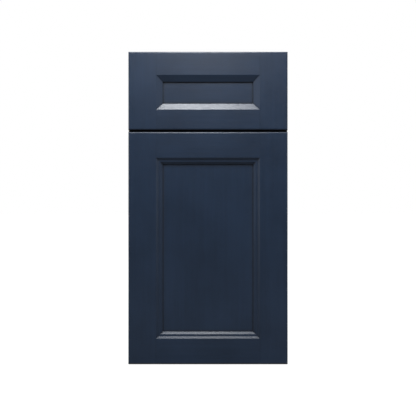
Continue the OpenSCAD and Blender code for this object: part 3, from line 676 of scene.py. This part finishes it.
class VANITY_OT_carcass(bpy.types.Operator):
    """Finish the boards between the side panels and the shelf in birch plywood"""
    bl_idname = "vanity.carcass"
    bl_label = "Carcass boards and shelf"

    def execute(self, context):
        ease = context.scene.vanity_edges.board
        for name, axes in BOARDS.items():
            board = birch_board("board_" + name, name, axes)
            finish_node(name, board, ease, segments=1, held_back=False)
        finish_node("dowels", turned_beech("turned_beech"), ease)
        return {"FINISHED"}


class VANITY_OT_drawer_box(bpy.types.Operator):
    """Finish the dovetailed drawer box in solid birch with a plywood bottom"""
    bl_idname = "vanity.drawer_box"
    bl_label = "Drawer box"

    def execute(self, context):
        ease = context.scene.vanity_edges.board / 2
        for name, axis in BOX_BOARDS.items():
            finish_node(name, box_board("box_" + name, name, axis), ease)
        finish_node("drawer_box_bottom", birch_board("board_box_bottom", "drawer_box_bottom", "ZY"), ease)
        return {"FINISHED"}


class VANITY_OT_hinges(bpy.types.Operator):
    """Nickel-plate the concealed hinges, their pins and all screws"""
    bl_idname = "vanity.hinges"
    bl_label = "Hinges, pins and screws"

    def execute(self, context):
        nickel = tuple(context.scene.vanity_hardware.nickel)
        pressed = plated_metal("nickel_pressed", nickel, "Y", 0.2, 0.34, 0.08)
        turned = plated_metal("nickel_turned", nickel, "Z", 0.16, 0.3, 0.05)
        ease = context.scene.vanity_edges.metal
        for kind in HINGES:
            for end in ("top", "bottom"):
                finish_node(f"{kind}_{end}", pressed, ease)
        for name in PINS + SCREWS:
            finish_node(name, turned, ease * 0.5)
        return {"FINISHED"}


class VANITY_OT_slides(bpy.types.Operator):
    """Zinc-plate the drawer slides, with bright balls in steel cages and black release levers"""
    bl_idname = "vanity.slides"
    bl_label = "Drawer slides"

    def execute(self, context):
        zinc = tuple(context.scene.vanity_hardware.zinc)
        rolled = plated_metal("zinc_rolled", zinc, "Y", 0.26, 0.42, 0.1)
        bright = plated_metal("steel_cage", (0.7, 0.7, 0.7), "Y", 0.12, 0.24, 0.05)
        ease = context.scene.vanity_edges.metal
        for side in ("left", "right"):
            for kind in SLIDES:
                finish_node(f"{kind}_{side}", rolled, ease)
            for kind in CAGES:
                finish_node(f"{kind}_{side}", bright, ease / 3)
        finish_node("slide_levers", moulded_nylon("black_nylon"), ease)
        return {"FINISHED"}


class VANITY_OT_cams(bpy.types.Operator):
    """Finish the die-cast cam locks and their bolts"""
    bl_idname = "vanity.cams"
    bl_label = "Cam locks and bolts"

    def execute(self, context):
        zinc = tuple(c * 0.85 for c in context.scene.vanity_hardware.zinc)
        cast = plated_metal("zinc_cast", zinc, "Z", 0.36, 0.52, 0.16, 0.3)
        for name in ("cam_locks", "cam_bolts"):
            finish_node(name, cast, context.scene.vanity_edges.metal)
        return {"FINISHED"}


class VANITY_OT_bumpers(bpy.types.Operator):
    """Make the domed clear bumpers behind the door and the drawer front"""
    bl_idname = "vanity.bumpers"
    bl_label = "Bumpers"

    def execute(self, context):
        clear = clear_bumper("clear_bumper")
        for node, body in (("door_bumpers", "door"), ("drawer_bumpers", "drawer")):
            low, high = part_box(node)
            middles = solid_middles(node)
            seats = [Vector((m.x, low.y, m.z)) for m in middles]
            piece = domes(node + "_soft", seats, middles[0].x - low.x, high.y - low.y)
            piece.data.materials.append(clear)
            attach(piece, body)
            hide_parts(node)
        return {"FINISHED"}


def softbox(name, at, aim, size, power):
    """A rectangular area light at one point, aimed at another."""
    data = bpy.data.lights.new(name, "AREA")
    data.shape = "RECTANGLE"
    data.size, data.size_y = size
    data.energy = power
    data.color = (0.97, 0.985, 1.0)
    light = bpy.data.objects.new(name, data)
    light.location = at
    light.rotation_euler = (Vector(aim) - Vector(at)).to_track_quat("-Z", "Y").to_euler()
    bpy.context.scene.collection.objects.link(light)


def studio_world():
    """White behind the cabinet; for light and reflections, bright overhead and dim at eye level."""
    world = bpy.data.worlds.new("studio")
    world.use_nodes = True
    tree = world.node_tree
    tree.nodes.clear()
    direction = add(tree, "ShaderNodeTexCoord").outputs["Generated"]
    up = add(tree, "ShaderNodeSeparateXYZ", {0: direction}).outputs["Z"]
    glow = between(tree, up, 0.15, 0.8, 0.02, 0.69)
    seen = add(tree, "ShaderNodeLightPath").outputs["Is Camera Ray"]
    strength = blend_values(tree, seen, glow, 1.0)
    white = add(tree, "ShaderNodeBackground", {"Color": (1, 1, 1, 1), "Strength": strength})
    end = add(tree, "ShaderNodeOutputWorld")
    tree.links.new(white.outputs[0], end.inputs[0])
    bpy.context.scene.world = world


def studio_floor():
    """A plain pale floor that fades into the white."""
    mesh = bpy.data.meshes.new("floor")
    half, drop = 30.0, 0.001
    corners = [(-half, -half, -drop), (half, -half, -drop), (half, half, -drop), (-half, half, -drop)]
    mesh.from_pydata(corners, [], [(0, 1, 2, 3)])
    floor = bpy.data.objects.new("floor", mesh)
    bpy.context.scene.collection.objects.link(floor)
    material, tree, shader = new_material("pale_floor")
    away = add(tree, "ShaderNodeVectorMath", {0: place(tree)}, operation="LENGTH").outputs["Value"]
    glow = between(tree, away, 0.5, 1.6, 0.93, 1.0)
    seen = add(tree, "ShaderNodeLightPath").outputs["Is Camera Ray"]
    shader.inputs["Base Color"].default_value = (0.17, 0.17, 0.17, 1)
    shader.inputs["Roughness"].default_value = 0.9
    shader.inputs["Specular IOR Level"].default_value = 0.1
    shader.inputs["Emission Color"].default_value = (1, 1, 1, 1)
    tree.links.new(maths(tree, "MULTIPLY", glow, seen), shader.inputs["Emission Strength"])
    mesh.materials.append(material)


class VANITY_OT_stage(bpy.types.Operator):
    """Set the level camera, the pale floor and the soft studio light"""
    bl_idname = "vanity.stage"
    bl_label = "Camera, floor and lights"

    def execute(self, context):
        scene, stage = context.scene, context.scene.vanity_stage
        scene.view_settings.view_transform = "Standard"
        camera = bpy.data.objects.new("camera", bpy.data.cameras.new("camera"))
        camera.location = (FRONT_MIDDLE.x, FRONT_LOW.y - stage.distance, FRONT_MIDDLE.z)
        camera.rotation_euler = (math.pi / 2, 0, 0)
        view_width = FRONT_WIDTH * stage.framing
        camera.data.lens = camera.data.sensor_width * stage.distance / view_width
        scene.collection.objects.link(camera)
        scene.camera = camera
        studio_world()
        studio_floor()
        middle = (CAD_BOX[0] + CAD_BOX[1]) / 2
        softbox("key", (-0.06, FRONT_LOW.y - 0.37, 1.25), (0, FRONT_LOW.y, 0.62), (0.40, 0.26), stage.key)
        softbox("strip", (0, -2.5, 2.0), (0, FRONT_LOW.y, 0.6), (0.2, 1.2), stage.strip)
        softbox("high", (0, -1.9, 2.7), (0, FRONT_LOW.y, 0.6), (1.0, 0.6), stage.high)
        for hand, share in ((-1, 1.15), (1, 0.85)):
            softbox("fill", (hand * 2.6, -2.2, 1.1), middle, (1.6, 2.0), stage.fill * share)
            softbox("side", (hand * 2.5, 1.3, 1.3), middle, (2.2, 2.0), stage.side)
        softbox("rear", (0.3, 2.6, 2.2), middle, (2.4, 1.6), stage.rear)
        return {"FINISHED"}


class VANITY_PT_sidebar(bpy.types.Panel):
    """The cabinet's groups of pieces, and the sizes and colours of each finish"""
    bl_idname = "VANITY_PT_sidebar"
    bl_label = "Vanity cabinet"
    bl_space_type = "VIEW_3D"
    bl_region_type = "UI"
    bl_category = "Vanity"

    def draw(self, context):
        for operator in OPERATORS:
            self.layout.operator(operator.bl_idname)
        for name in SETTINGS:
            settings = getattr(context.scene, name)
            box = self.layout.box()
            for prop in settings.bl_rna.properties:
                if prop.identifier not in ("rna_type", "name"):
                    box.prop(settings, prop.identifier)


SETTINGS = {
    "vanity_paint": PaintSettings, "vanity_timber": TimberSettings, "vanity_hardware": HardwareSettings,
    "vanity_edges": EdgeSettings, "vanity_stage": StageSettings,
}
OPERATORS = (
    VANITY_OT_stage, VANITY_OT_fronts, VANITY_OT_sides, VANITY_OT_carcass, VANITY_OT_drawer_box,
    VANITY_OT_hinges, VANITY_OT_slides, VANITY_OT_cams, VANITY_OT_bumpers,
)


def register():
    """Makes the settings, the operators and the panel known."""
    for name, settings in SETTINGS.items():
        bpy.utils.register_class(settings)
        setattr(bpy.types.Scene, name, PointerProperty(type=settings))
    for made in (*OPERATORS, VANITY_PT_sidebar):
        bpy.utils.register_class(made)


def unregister():
    """Takes them away again."""
    for made in (VANITY_PT_sidebar, *reversed(OPERATORS)):
        bpy.utils.unregister_class(made)
    for name, settings in SETTINGS.items():
        delattr(bpy.types.Scene, name)
        bpy.utils.unregister_class(settings)


def main():
    """Builds everything in order."""
    register()
    for operator in OPERATORS:
        group, _, action = operator.bl_idname.partition(".")
        getattr(getattr(bpy.ops, group), action)()


if __name__ == "__main__":
    main()
